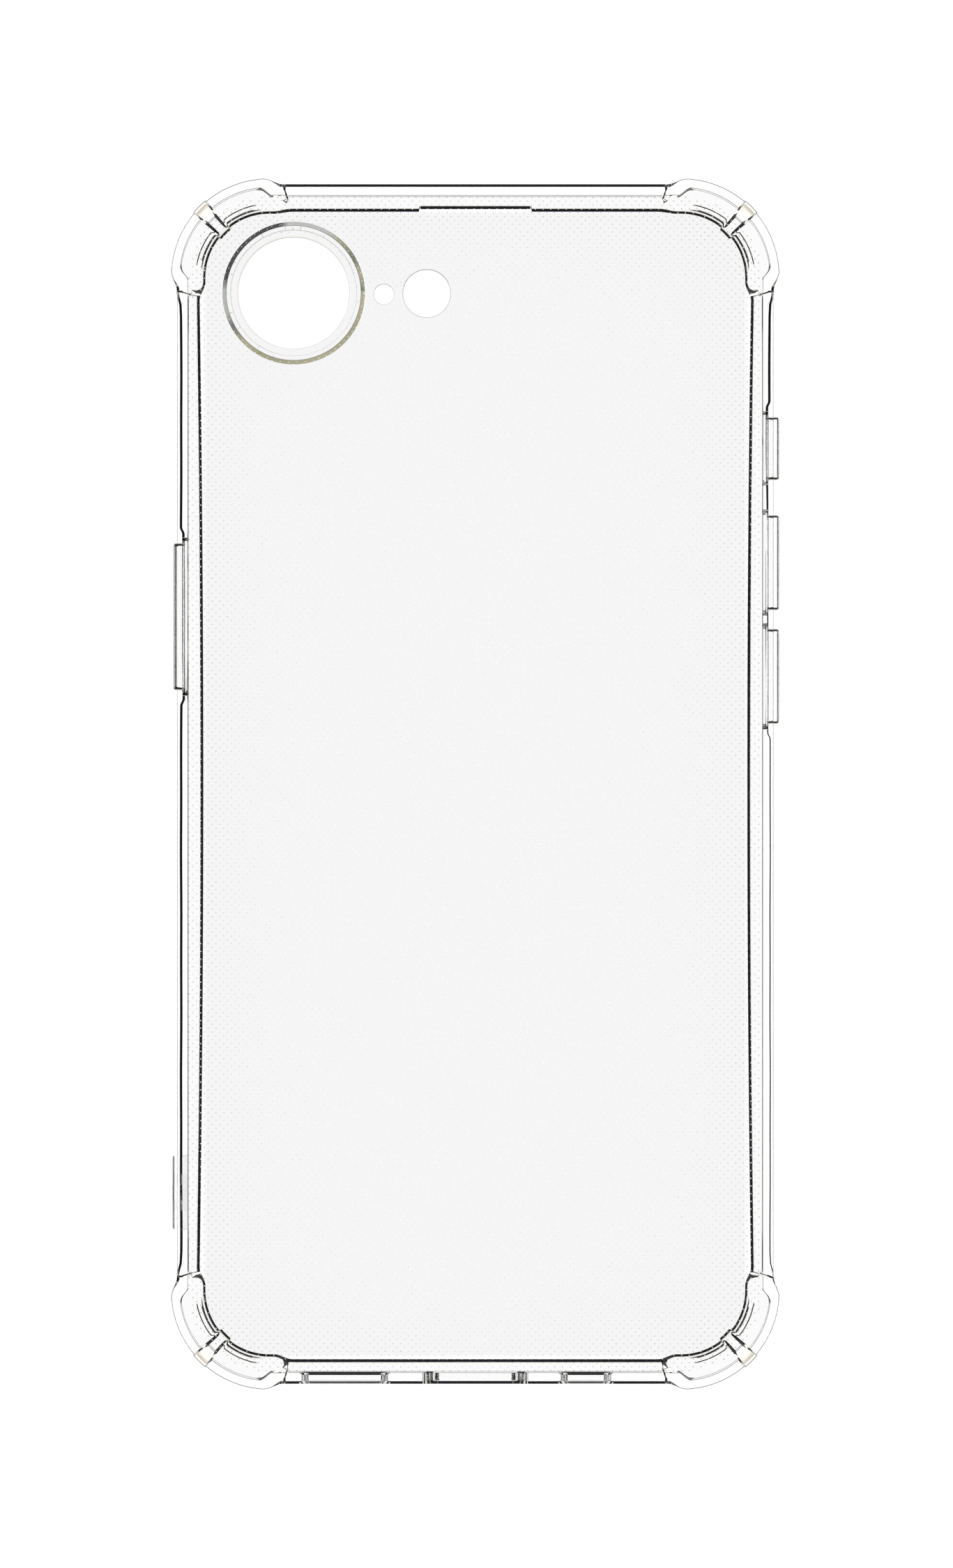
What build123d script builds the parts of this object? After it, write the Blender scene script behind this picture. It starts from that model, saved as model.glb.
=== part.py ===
from build123d import *
from math import cos, radians, sin
import os

os.makedirs("parts", exist_ok=True)

# Clear moulded case for a thin touch-screen phone with one rear camera.
# Frame: millimetres. +X to the right and +Y towards the camera end when looking at the back of the case,
# +Z out of the back. The case lies on its front lip, and the origin is the centre of that footprint.

# ---- the phone that the case is made for ----
phone_width = 71.5
phone_length = 146.7
phone_thickness = 7.8
phone_corner_radius = 10.0

# ---- fits ----
side_clearance = 0.15  # each side, phone to wall
depth_clearance = 0.1  # over the phone's thickness

# ---- shell ----
wall_thickness = 1.4
plate_thickness = 1.3
back_edge_limit = 1.2  # outer edge between the back and the walls, or less on a thinner wall
front_edge_radius = 0.5  # outer edge of the front lip

# ---- front lip ----
lip_height = 1.2
side_lip_cover = 1.25  # how far the long lips reach over the phone's edge at their ends
lip_bow = 0.5  # the long lips reach this much further in at mid length
end_lip_cover = 1.6  # the same reach of the top and bottom lips
lip_corner_cover = 2.15  # the same reach at the corners
lip_step_length = 0.8  # the lip's slanted step from side to corner
earpiece_relief_length = 13.9
earpiece_relief_depth = 0.33
gate_groove_length = 13.4
gate_groove_width = 0.9
gate_groove_depth = 0.3
gate_groove_inset = 1.25  # from the straight wall's outer face to the groove's middle

# ---- shock corners ----
corner_proud = 0.75  # how far the corners stand out from the straight walls
corner_reach = 2.5  # how far each corner piece runs past the start of its arc
corner_slant_angle = 3.0  # where the proud arc starts, in degrees
slant_blend_radius = 4.0  # softens the turn from the slant to the proud arc
pocket_wall = 1.2  # wall outside the air pockets
pocket_start_angle = 5.5
middle_rib_half_angle = 6.0
kerb_width = 1.2  # lip left at full height inside the pocket groove
pocket_groove_depth = 0.5
fin_proud = 0.15  # the raised flat at each corner's middle
fin_half_angle = 4.4
fin_top_gap = 0.4  # from the fin's end to the rounded back edge

# ---- camera, microphone and flash holes ----
camera_hole_radius = 6.95
camera_from_side = 13.1  # from the phone's left side
camera_from_top = 12.1  # from the phone's camera end
microphone_hole_radius = 1.25
microphone_gap = 1.1  # from the guard ring's foot to the microphone hole
microphone_drop = 0.15  # below the camera's centre
flash_hole_radius = 2.95
flash_gap = 1.15  # from the microphone hole to the flash hole
flash_drop = 0.05
hole_edge_chamfer = 0.2
guard_ledge = 0.9  # flat ledge between the camera hole and the ring
guard_foot_width = 1.05
guard_height = 1.0
guard_crest_inset = 0.35

# ---- button covers and the thin webs that carry them ----
key_height = 3.4
key_corner_radius = 1.3
key_edge_radius = 0.35
key_travel_gap = 0.3  # from the cavity's face to a button cover's inner face
web_thickness = 0.45
web_width = 0.7  # thin web around each cover
trough_depth = 0.45
trough_end_slant = 1.2
trough_end_margin = 1.0  # from the outermost cover to the end of its trough
side_key_length = 18.4
side_key_from_top = 52.45
side_key_proud = 0.45
action_key_length = 7.9
action_key_from_top = 31.45
volume_key_length = 11.9
volume_up_from_top = 45.7
volume_down_from_top = 59.9
right_key_proud = 0.7

# ---- lanyard bridge, low on the left wall ----
lanyard_length = 9.2
lanyard_height = 4.6
lanyard_from_bottom = 22.35
lanyard_proud = 0.5
lanyard_slot_width = 1.3
lanyard_slot_height = 2.6
lanyard_slot_spacing = 3.2
lanyard_channel_depth = 0.8
lanyard_edge_radius = 0.3

# ---- openings in the bottom wall ----
port_width = 13.2
port_rim = 0.75  # wall left between the port and the cavity's floor and roof
port_corner_radius = 2.4
port_flare = 0.6
speaker_width = 10.8
speaker_centre = -16.3
bottom_microphone_width = 6.3
bottom_microphone_centre = 13.8
sound_slot_height = 3.2
sound_slot_corner_radius = 1.4
sound_recess_margin = 0.65
sound_recess_depth = 0.4

# ---- worked out from the sizes above ----
cavity_half_width = phone_width / 2 + side_clearance
cavity_half_length = phone_length / 2 + side_clearance
cavity_radius = phone_corner_radius + side_clearance
outer_half_width = cavity_half_width + wall_thickness
outer_half_length = cavity_half_length + wall_thickness
outer_radius = cavity_radius + wall_thickness
back_edge_radius = min(back_edge_limit, wall_thickness - 0.1)
plate_inner_z = lip_height + phone_thickness + depth_clearance
case_depth = plate_inner_z + plate_thickness
middle_z = lip_height + (phone_thickness + depth_clearance) / 2
corner_x = cavity_half_width - cavity_radius
corner_y = cavity_half_length - cavity_radius
wall_half_length = corner_y - corner_reach
wall_half_width = corner_x - corner_reach
cushion_radius = outer_radius + corner_proud
pocket_radius = cushion_radius - pocket_wall
fin_height = case_depth - lip_height - back_edge_radius - fin_top_gap
lip_half_width = phone_width / 2 - side_lip_cover
lip_half_length = phone_length / 2 - end_lip_cover
side_lip_edge = lip_half_width - corner_x  # seen from the corner arc's centre
end_lip_edge = lip_half_length - corner_y
lip_corner_radius = phone_corner_radius - lip_corner_cover
groove_radius = lip_corner_radius + kerb_width


# ---- back panel ----
camera_x = camera_from_side - phone_width / 2
camera_y = phone_length / 2 - camera_from_top
guard_inner_radius = camera_hole_radius + guard_ledge
guard_outer_radius = guard_inner_radius + guard_foot_width
microphone_x = camera_x + guard_outer_radius + microphone_gap + microphone_hole_radius
flash_x = microphone_x + microphone_hole_radius + flash_gap + flash_hole_radius
holes = (
    (camera_hole_radius, camera_x, camera_y),
    (microphone_hole_radius, microphone_x, camera_y - microphone_drop),
    (flash_hole_radius, flash_x, camera_y - flash_drop),
)
with BuildPart() as back_panel:
    with BuildSketch(Plane.XY.offset(plate_inner_z)):
        RectangleRounded(2 * cavity_half_width, 2 * cavity_half_length, cavity_radius)
    extrude(amount=plate_thickness)
    for radius, hole_x, hole_y in holes:
        with BuildSketch(Plane.XY.offset(case_depth)):
            with Locations((hole_x, hole_y)):
                Circle(radius)
        extrude(amount=-plate_thickness, mode=Mode.SUBTRACT)
    hole_rims = [wire.edges() for wire in back_panel.faces().sort_by(Axis.Z)[-1].inner_wires()]
    chamfer(hole_rims, length=hole_edge_chamfer)
back_panel.part.label = "back_panel"
export_step(back_panel.part, "parts/back_panel.step")


# ---- camera guard ring ----
with BuildPart() as camera_guard_ring:
    with BuildSketch(Plane(origin=(camera_x, camera_y, case_depth), x_dir=(1, 0, 0), z_dir=(0, -1, 0))):
        with BuildLine():
            Polyline(
                (guard_inner_radius, 0),
                (guard_outer_radius, 0),
                (guard_outer_radius - guard_crest_inset / 2, guard_height / 2),
                (guard_outer_radius - guard_crest_inset, guard_height),
                (guard_inner_radius + guard_crest_inset, guard_height),
                close=True,
            )
        make_face()
    revolve(axis=Axis((camera_x, camera_y, 0), (0, 0, 1)))
camera_guard_ring.part.label = "camera_guard_ring"
export_step(camera_guard_ring.part, "parts/camera_guard_ring.step")


class ButtonCover:
    """One button cover: its name, the side it is on (-1 left, 1 right), its place, length and how proud it is."""

    def __init__(self, name, side, from_top, length, proud):
        self.name = name
        self.side = side
        self.centre_y = phone_length / 2 - from_top
        self.length = length
        self.proud = proud

    def plane(self, distance):
        """Plane square to the wall, its x along the wall and its normal outwards, at a distance from the middle."""
        return Plane(
            origin=(self.side * distance, self.centre_y, middle_z),
            x_dir=(0, 1, 0),
            z_dir=(self.side, 0, 0),
        )


covers = [
    ButtonCover("side_button", -1, side_key_from_top, side_key_length, side_key_proud),
    ButtonCover("action_button", 1, action_key_from_top, action_key_length, right_key_proud),
    ButtonCover("volume_up_button", 1, volume_up_from_top, volume_key_length, right_key_proud),
    ButtonCover("volume_down_button", 1, volume_down_from_top, volume_key_length, right_key_proud),
]
key_inner_face = cavity_half_width + key_travel_gap
window_height = key_height + 2 * web_width
window_radius = key_corner_radius + web_width

# ---- button covers and their webs ----
for cover in covers:
    thickness = outer_half_width + cover.proud - key_inner_face
    with BuildPart() as key:
        with BuildSketch(cover.plane(key_inner_face)):
            RectangleRounded(cover.length, key_height, key_corner_radius)
        extrude(amount=thickness)
        outer_rim = key.faces().sort_by(Axis.X)[-1 if cover.side > 0 else 0].edges()
        fillet(outer_rim, radius=key_edge_radius)
    key.part.label = cover.name
    export_step(key.part, f"parts/{cover.name}.step")

    with BuildPart() as web:
        with BuildSketch(cover.plane(key_inner_face)):
            RectangleRounded(cover.length + 2 * web_width, window_height, window_radius)
            RectangleRounded(cover.length, key_height, key_corner_radius, mode=Mode.SUBTRACT)
        extrude(amount=web_thickness)
    web.part.label = f"{cover.name}_web"
    export_step(web.part, f"parts/{cover.name}_web.step")


# ---- long walls ----
lanyard_y = lanyard_from_bottom - phone_length / 2
lanyard_plane = Plane(origin=(-cavity_half_width, lanyard_y, middle_z), x_dir=(0, 1, 0), z_dir=(-1, 0, 0))
for side, name in ((-1, "left_wall"), (1, "right_wall")):
    own_covers = [cover for cover in covers if cover.side == side]
    trough_low = min(cover.centre_y - cover.length / 2 for cover in own_covers) - trough_end_margin
    trough_high = max(cover.centre_y + cover.length / 2 for cover in own_covers) + trough_end_margin
    trough_floor = outer_half_width - trough_depth
    with BuildPart() as long_wall:
        with BuildSketch(Plane.XY.offset(lip_height)):
            with Locations((side * (cavity_half_width + wall_thickness / 2), 0)):
                Rectangle(wall_thickness, 2 * wall_half_length)
        extrude(amount=case_depth - lip_height)
        back_edge = long_wall.edges().filter_by(Axis.Y).group_by(Axis.Z)[-1]
        fillet(back_edge.sort_by(Axis.X)[-1 if side > 0 else 0], radius=back_edge_radius)
        with BuildSketch(Plane.XY.offset(lip_height)):
            with BuildLine():
                Polyline(
                    (side * outer_half_width, trough_low - trough_end_slant),
                    (side * trough_floor, trough_low),
                    (side * trough_floor, trough_high),
                    (side * outer_half_width, trough_high + trough_end_slant),
                    close=True,
                )
            make_face()
        extrude(amount=case_depth - lip_height, mode=Mode.SUBTRACT)
        for cover in own_covers:
            with BuildSketch(cover.plane(cavity_half_width)):
                RectangleRounded(cover.length + 2 * web_width, window_height, window_radius)
            extrude(amount=wall_thickness, mode=Mode.SUBTRACT)
        if side < 0:
            with BuildSketch(lanyard_plane):
                Rectangle(lanyard_length, lanyard_height)
            extrude(amount=wall_thickness, mode=Mode.SUBTRACT)
    long_wall.part.label = name
    export_step(long_wall.part, f"parts/{name}.step")


# ---- lanyard bridge: a cord goes in through one slot, behind the bridge and out of the other ----
with BuildPart() as lanyard_bridge:
    with BuildSketch(lanyard_plane):
        Rectangle(lanyard_length, lanyard_height)
    extrude(amount=wall_thickness + lanyard_proud)
    fillet(lanyard_bridge.faces().sort_by(Axis.X)[0].edges(), radius=lanyard_edge_radius)
    with BuildSketch(lanyard_plane):
        with GridLocations(lanyard_slot_spacing, 0, 2, 1):
            Rectangle(lanyard_slot_width, lanyard_slot_height)
    extrude(amount=wall_thickness + lanyard_proud, mode=Mode.SUBTRACT)
    with BuildSketch(lanyard_plane):
        Rectangle(lanyard_slot_spacing + lanyard_slot_width, lanyard_slot_height)
    extrude(amount=lanyard_channel_depth, mode=Mode.SUBTRACT)
lanyard_bridge.part.label = "lanyard_bridge"
export_step(lanyard_bridge.part, "parts/lanyard_bridge.step")


# ---- top wall ----
with BuildPart() as top_wall:
    with BuildSketch(Plane.XY.offset(lip_height)):
        with Locations((0, cavity_half_length + wall_thickness / 2)):
            Rectangle(2 * wall_half_width, wall_thickness)
    extrude(amount=case_depth - lip_height)
    back_edge = top_wall.edges().filter_by(Axis.X).group_by(Axis.Z)[-1].sort_by(Axis.Y)[-1]
    fillet(back_edge, radius=back_edge_radius)
top_wall.part.label = "top_wall"
export_step(top_wall.part, "parts/top_wall.step")


# ---- bottom wall, with the charging port, speaker and microphone openings ----
sound_slots = ((speaker_centre, speaker_width), (bottom_microphone_centre, bottom_microphone_width))
with BuildPart() as bottom_wall:
    with BuildSketch(Plane.XY.offset(lip_height)):
        with Locations((0, -cavity_half_length - wall_thickness / 2)):
            Rectangle(2 * wall_half_width, wall_thickness)
    extrude(amount=case_depth - lip_height)
    back_edge = bottom_wall.edges().filter_by(Axis.X).group_by(Axis.Z)[-1].sort_by(Axis.Y)[0]
    fillet(back_edge, radius=back_edge_radius)
    outside = Plane(origin=(0, -outer_half_length, middle_z), x_dir=(1, 0, 0), z_dir=(0, -1, 0))
    with BuildSketch(outside):
        RectangleRounded(port_width, phone_thickness + depth_clearance - 2 * port_rim, port_corner_radius)
    extrude(amount=-wall_thickness, mode=Mode.SUBTRACT)
    port_mouth = bottom_wall.faces().sort_by(Axis.Y)[0].inner_wires()[0].edges()
    chamfer(port_mouth, length=port_flare)
    for centre, width in sound_slots:
        with BuildSketch(outside):
            with Locations((centre, 0)):
                RectangleRounded(width, sound_slot_height, sound_slot_corner_radius)
        extrude(amount=-wall_thickness, mode=Mode.SUBTRACT)
        with BuildSketch(outside):
            with Locations((centre, 0)):
                RectangleRounded(
                    width + 2 * sound_recess_margin,
                    sound_slot_height + 2 * sound_recess_margin,
                    sound_slot_corner_radius + sound_recess_margin,
                )
        extrude(amount=-sound_recess_depth, mode=Mode.SUBTRACT)
bottom_wall.part.label = "bottom_wall"
export_step(bottom_wall.part, "parts/bottom_wall.step")


# ---- long lips, bowed a little inwards ----
for side, name in ((-1, "left_lip"), (1, "right_lip")):
    with BuildPart() as long_lip:
        with BuildSketch():
            with BuildLine():
                Polyline(
                    (side * lip_half_width, wall_half_length),
                    (side * outer_half_width, wall_half_length),
                    (side * outer_half_width, -wall_half_length),
                    (side * lip_half_width, -wall_half_length),
                )
                ThreePointArc(
                    (side * lip_half_width, -wall_half_length),
                    (side * (lip_half_width - lip_bow), 0),
                    (side * lip_half_width, wall_half_length),
                )
            make_face()
        extrude(amount=lip_height)
        front_edge = long_lip.edges().filter_by(Axis.Y).group_by(Axis.Z)[0]
        fillet(front_edge.sort_by(Axis.X)[-1 if side > 0 else 0], radius=front_edge_radius)
    long_lip.part.label = name
    export_step(long_lip.part, f"parts/{name}.step")


# ---- short lips: the top one has the earpiece relief and the oblong gate groove ----
for side, name in ((-1, "bottom_lip"), (1, "top_lip")):
    lip_width = outer_half_length - lip_half_length
    with BuildPart() as short_lip:
        with BuildSketch():
            with Locations((0, side * (lip_half_length + lip_width / 2))):
                Rectangle(2 * wall_half_width, lip_width)
            if side > 0:
                with Locations((0, lip_half_length + earpiece_relief_depth / 2)):
                    Rectangle(earpiece_relief_length, earpiece_relief_depth, mode=Mode.SUBTRACT)
        extrude(amount=lip_height)
        front_edge = short_lip.edges().filter_by(Axis.X).group_by(Axis.Z)[0]
        fillet(front_edge.sort_by(Axis.Y)[-1 if side > 0 else 0], radius=front_edge_radius)
        if side > 0:
            with BuildSketch():
                with Locations((0, outer_half_length - gate_groove_inset)):
                    SlotOverall(gate_groove_length, gate_groove_width)
            extrude(amount=gate_groove_depth, mode=Mode.SUBTRACT)
    short_lip.part.label = name
    export_step(short_lip.part, f"parts/{name}.step")


# ---- shock corners: each is built in its own turned frame, whose origin is the corner arc's centre ----
corners = {
    "top_right": (corner_x, corner_y, 0, side_lip_edge, end_lip_edge),
    "top_left": (-corner_x, corner_y, 90, end_lip_edge, side_lip_edge),
    "bottom_left": (-corner_x, -corner_y, 180, side_lip_edge, end_lip_edge),
    "bottom_right": (corner_x, -corner_y, 270, end_lip_edge, side_lip_edge),
}
slant = radians(corner_slant_angle)
pocket_angles = (
    (pocket_start_angle, 45 - middle_rib_half_angle),
    (45 + middle_rib_half_angle, 90 - pocket_start_angle),
)
diagonal = cos(radians(45))


def on_proud_arc(vertex):
    """Whether a corner outline's vertex, seen from the arc's centre, is an end of the proud arc."""
    return Vector(vertex.X, vertex.Y).length > cushion_radius - 0.01


for corner_name, (centre_x, centre_y, turn, first_lip_edge, last_lip_edge) in corners.items():
    turned = Plane(
        origin=(centre_x, centre_y, 0),
        x_dir=(cos(radians(turn)), sin(radians(turn)), 0),
        z_dir=(0, 0, 1),
    )
    slant_start = (cushion_radius * cos(slant), cushion_radius * sin(slant))
    slant_end = (slant_start[1], slant_start[0])

    with BuildPart() as cushion:
        with BuildSketch(turned.offset(lip_height)) as cushion_outline:
            with BuildLine():
                Polyline(
                    (cavity_radius, 0),
                    (cavity_radius, -corner_reach),
                    (outer_radius, -corner_reach),
                    slant_start,
                )
                ThreePointArc(slant_start, (cushion_radius * diagonal, cushion_radius * diagonal), slant_end)
                Polyline(
                    slant_end,
                    (-corner_reach, outer_radius),
                    (-corner_reach, cavity_radius),
                    (0, cavity_radius),
                )
                ThreePointArc(
                    (0, cavity_radius),
                    (cavity_radius * diagonal, cavity_radius * diagonal),
                    (cavity_radius, 0),
                )
            make_face()
            fillet(cushion_outline.vertices().filter_by(on_proud_arc), radius=slant_blend_radius)
        extrude(amount=case_depth - lip_height)
        with BuildSketch(turned.offset(lip_height)):
            with BuildLine():
                inner = CenterArc((0, 0), outer_radius, 45 - fin_half_angle, 2 * fin_half_angle)
                outer = CenterArc((0, 0), cushion_radius + fin_proud, 45 - fin_half_angle, 2 * fin_half_angle)
                Line(inner @ 0, outer @ 0)
                Line(inner @ 1, outer @ 1)
            make_face()
        extrude(amount=fin_height)
        for start, end in pocket_angles:
            with BuildSketch(turned.offset(lip_height)):
                with BuildLine():
                    inner = CenterArc((0, 0), groove_radius, start, end - start)
                    outer = CenterArc((0, 0), pocket_radius, start, end - start)
                    Line(inner @ 0, outer @ 0)
                    Line(inner @ 1, outer @ 1)
                make_face()
            extrude(amount=plate_inner_z - lip_height, mode=Mode.SUBTRACT)
        back_rim = cushion.faces().sort_by(Axis.Z)[-1].edges()
        outer_rim = back_rim.filter_by(
            lambda edge: (edge.center() - Vector(centre_x, centre_y, case_depth)).length > outer_radius
        )
        fillet(outer_rim, radius=back_edge_radius)
    cushion.part.label = f"corner_cushion_{corner_name}"
    export_step(cushion.part, f"parts/corner_cushion_{corner_name}.step")

    with BuildPart() as corner_lip:
        with BuildSketch(turned) as lip_outline:
            with BuildLine():
                Polyline(
                    (lip_corner_radius, 0),
                    (lip_corner_radius, lip_step_length - corner_reach),
                    (first_lip_edge, -corner_reach),
                    (outer_radius, -corner_reach),
                    slant_start,
                )
                ThreePointArc(slant_start, (cushion_radius * diagonal, cushion_radius * diagonal), slant_end)
                Polyline(
                    slant_end,
                    (-corner_reach, outer_radius),
                    (-corner_reach, last_lip_edge),
                    (lip_step_length - corner_reach, lip_corner_radius),
                    (0, lip_corner_radius),
                )
                ThreePointArc(
                    (0, lip_corner_radius),
                    (lip_corner_radius * diagonal, lip_corner_radius * diagonal),
                    (lip_corner_radius, 0),
                )
            make_face()
            fillet(lip_outline.vertices().filter_by(on_proud_arc), radius=slant_blend_radius)
        extrude(amount=lip_height)
        for start, end in pocket_angles:
            with BuildSketch(turned.offset(lip_height)):
                with BuildLine():
                    inner = CenterArc((0, 0), groove_radius, start, end - start)
                    outer = CenterArc((0, 0), pocket_radius, start, end - start)
                    Line(inner @ 0, outer @ 0)
                    Line(inner @ 1, outer @ 1)
                make_face()
            extrude(amount=-pocket_groove_depth, mode=Mode.SUBTRACT)
        front_rim = corner_lip.faces().sort_by(Axis.Z)[0].edges()
        outer_rim = front_rim.filter_by(
            lambda edge: (edge.center() - Vector(centre_x, centre_y, 0)).length > outer_radius
        )
        fillet(outer_rim, radius=front_edge_radius)
    corner_lip.part.label = f"corner_lip_{corner_name}"
    export_step(corner_lip.part, f"parts/corner_lip_{corner_name}.step")
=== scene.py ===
"""A clear moulded phone case, lying back up on a white table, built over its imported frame."""
import logging
import math
from dataclasses import dataclass, field
from enum import Enum

import bmesh
import bpy
import numpy as np
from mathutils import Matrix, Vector
from mathutils.geometry import tessellate_polygon


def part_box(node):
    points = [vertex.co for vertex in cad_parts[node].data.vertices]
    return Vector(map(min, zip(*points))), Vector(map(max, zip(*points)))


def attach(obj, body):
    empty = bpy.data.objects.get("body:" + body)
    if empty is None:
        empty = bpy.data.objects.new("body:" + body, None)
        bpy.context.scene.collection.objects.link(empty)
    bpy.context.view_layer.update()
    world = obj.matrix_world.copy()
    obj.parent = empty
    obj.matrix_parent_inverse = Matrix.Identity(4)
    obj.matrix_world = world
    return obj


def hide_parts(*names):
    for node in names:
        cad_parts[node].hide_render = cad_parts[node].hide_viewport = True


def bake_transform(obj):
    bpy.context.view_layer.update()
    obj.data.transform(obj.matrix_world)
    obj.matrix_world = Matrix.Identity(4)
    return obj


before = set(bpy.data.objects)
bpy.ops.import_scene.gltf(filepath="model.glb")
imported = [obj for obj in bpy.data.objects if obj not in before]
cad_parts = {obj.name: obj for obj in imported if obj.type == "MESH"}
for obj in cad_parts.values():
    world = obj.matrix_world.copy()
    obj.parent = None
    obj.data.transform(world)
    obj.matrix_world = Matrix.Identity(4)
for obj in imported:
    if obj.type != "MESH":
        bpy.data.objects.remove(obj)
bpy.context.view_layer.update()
log = logging.getLogger("phone_case")
MM = 0.001
Stop = tuple[float, tuple[float, float, float]]


def smooth(value: np.ndarray, low: float, high: float) -> np.ndarray:
    """Rises smoothly from 0 at low to 1 at high.

    Args:
        value: Where to read the step.
        low: Start of the rise.
        high: End of the rise.

    Returns:
        3 t squared minus 2 t cubed, with t the clipped share of the way from low to high.
    """
    t = np.clip((value - low) / (high - low), 0.0, 1.0)
    return t * t * (3.0 - 2.0 * t)


def clustered(
    low: float,
    high: float,
    step: float,
    centres: tuple[float, ...],
    width: float,
    fine: float,
) -> np.ndarray:
    """Places samples every step, and every fine within width of each centre.

    Args:
        low: First sample.
        high: End of the range, which is left out.
        step: Usual spacing.
        centres: Where detail needs closer samples.
        width: Half the length of each closely sampled stretch.
        fine: Spacing there.

    Returns:
        The sorted samples.
    """
    coarse = np.linspace(low, high, max(2, round((high - low) / step) + 1))[:-1]
    near = [np.arange(c - width, c + width + fine / 2, fine) for c in centres]
    merged = np.unique(np.round(np.concatenate([coarse, *near]), 5))
    merged = merged[(merged >= low) & (merged < high - fine / 2)]
    keep = np.concatenate([[True], np.diff(merged) > fine * 0.45])
    return merged[keep]


def round_edge(degrees: tuple[float, ...]) -> list[tuple[float, float]]:
    """Lists one less the sine and one less the cosine of each angle, the two shares of a round edge."""
    return [(1 - math.sin(a), 1 - math.cos(a)) for a in np.radians(degrees)]


class Side(Enum):
    """The straight sides of the case, each with its outward direction."""

    RIGHT = (1.0, 0.0)
    TOP = (0.0, 1.0)
    LEFT = (-1.0, 0.0)
    BOTTOM = (0.0, -1.0)

    @property
    def outward(self) -> np.ndarray:
        """Outward unit direction in the plane of the back."""
        return np.array(self.value)

    @property
    def along(self) -> np.ndarray:
        """Unit direction along the side, anticlockwise seen from the back."""
        return np.array([-self.value[1], self.value[0]])


@dataclass(frozen=True)
class CaseSizes:
    """Sizes of the moulding in millimetres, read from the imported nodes."""

    half_width: float
    half_length: float
    wall: float
    lip_height: float
    plate_inner: float
    back: float
    side_lip: float
    end_lip: float
    corner_outer: float

    @classmethod
    def from_frame(cls) -> "CaseSizes":
        """Reads the panel, walls, lips and corner boxes of the frame."""
        panel_low, panel_high = (np.array(v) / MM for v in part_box("back_panel"))
        _, wall_high = (np.array(v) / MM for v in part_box("right_wall"))
        lip_low, lip_high = (np.array(v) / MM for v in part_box("top_lip"))
        _, corner_high = (np.array(v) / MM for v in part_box("corner_cushion_top_right"))
        side_low, _ = (np.array(v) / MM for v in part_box("right_lip"))
        return cls(
            half_width=panel_high[0],
            half_length=panel_high[1],
            wall=wall_high[0] - panel_high[0],
            lip_height=lip_high[2],
            plate_inner=panel_low[2],
            back=panel_high[2],
            side_lip=side_low[0],
            end_lip=lip_low[1],
            corner_outer=corner_high[0],
        )

    @property
    def half_sizes(self) -> np.ndarray:
        """Half width and half length of the outline."""
        return np.array([self.half_width, self.half_length])


@dataclass(frozen=True)
class Window:
    """A through opening in a straight wall, in mm.

    It has its side, its centre along that side, half sizes, corner radius, the margin of wall that is
    meshed round it, its flare towards the inside, and whether a pressable cover sits in it.
    """

    side: Side
    centre: float
    half_length: float
    half_height: float
    radius: float
    margin: float = 0.6
    flare: float = 0.0
    key: bool = False

    def outline(self, along: np.ndarray, up: np.ndarray) -> tuple[np.ndarray, np.ndarray]:
        """Carries points around the opening onto its rounded outline.

        Each point is pulled to the nearest point of the core, which is the opening less its corner radius,
        and set back out by that radius.

        Args:
            along: Distance from the opening's centre along the wall.
            up: Distance from its centre up the wall.

        Returns:
            The same two distances on the outline.
        """
        core_along = np.clip(along, self.radius - self.half_length, self.half_length - self.radius)
        core_up = np.clip(up, self.radius - self.half_height, self.half_height - self.radius)
        reach = np.hypot(along - core_along, up - core_up)
        reach = np.maximum(reach, 1e-9)
        return (
            core_along + self.radius * (along - core_along) / reach,
            core_up + self.radius * (up - core_up) / reach,
        )


@dataclass(frozen=True)
class RoundHole:
    """A round hole through the back, with its rim's profile from the inner face to the outer one, in mm."""

    x: float
    y: float
    rim: tuple[tuple[float, float], ...]


class Graph:
    """A material's or world's nodes, with short calls to add and join them."""

    def __init__(self, owner: bpy.types.ID) -> None:
        """Clears the owner's nodes."""
        owner.use_nodes = True
        self.tree = owner.node_tree
        self.tree.nodes.clear()

    def add(self, kind: str, **values: object) -> bpy.types.Node:
        """Adds a node.

        Args:
            kind: Node type without the ShaderNode prefix.
            values: Sockets by name, with spaces as underscores, or the node's own settings in lower case.

        Returns:
            The new node.
        """
        node = self.tree.nodes.new("ShaderNode" + kind)
        for name, value in values.items():
            if name[0].islower():
                setattr(node, name, value)
                continue
            socket = node.inputs[name.replace("_", " ")]
            if isinstance(value, bpy.types.NodeSocket):
                self.tree.links.new(value, socket)
            else:
                socket.default_value = value
        return node

    def ramp(self, factor: bpy.types.NodeSocket, stops: list[Stop]) -> bpy.types.NodeSocket:
        """Adds a colour ramp.

        Args:
            factor: Where the ramp is read.
            stops: Place and colour of each stop, in order.

        Returns:
            The ramp's colour.
        """
        node = self.add("ValToRGB", Fac=factor)
        elements = node.color_ramp.elements
        while len(elements) < len(stops):
            elements.new(0.5)
        for element, (place, colour) in zip(elements, stops):
            element.position = place
            element.color = (*colour, 1.0)
        return node.outputs["Color"]


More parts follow.
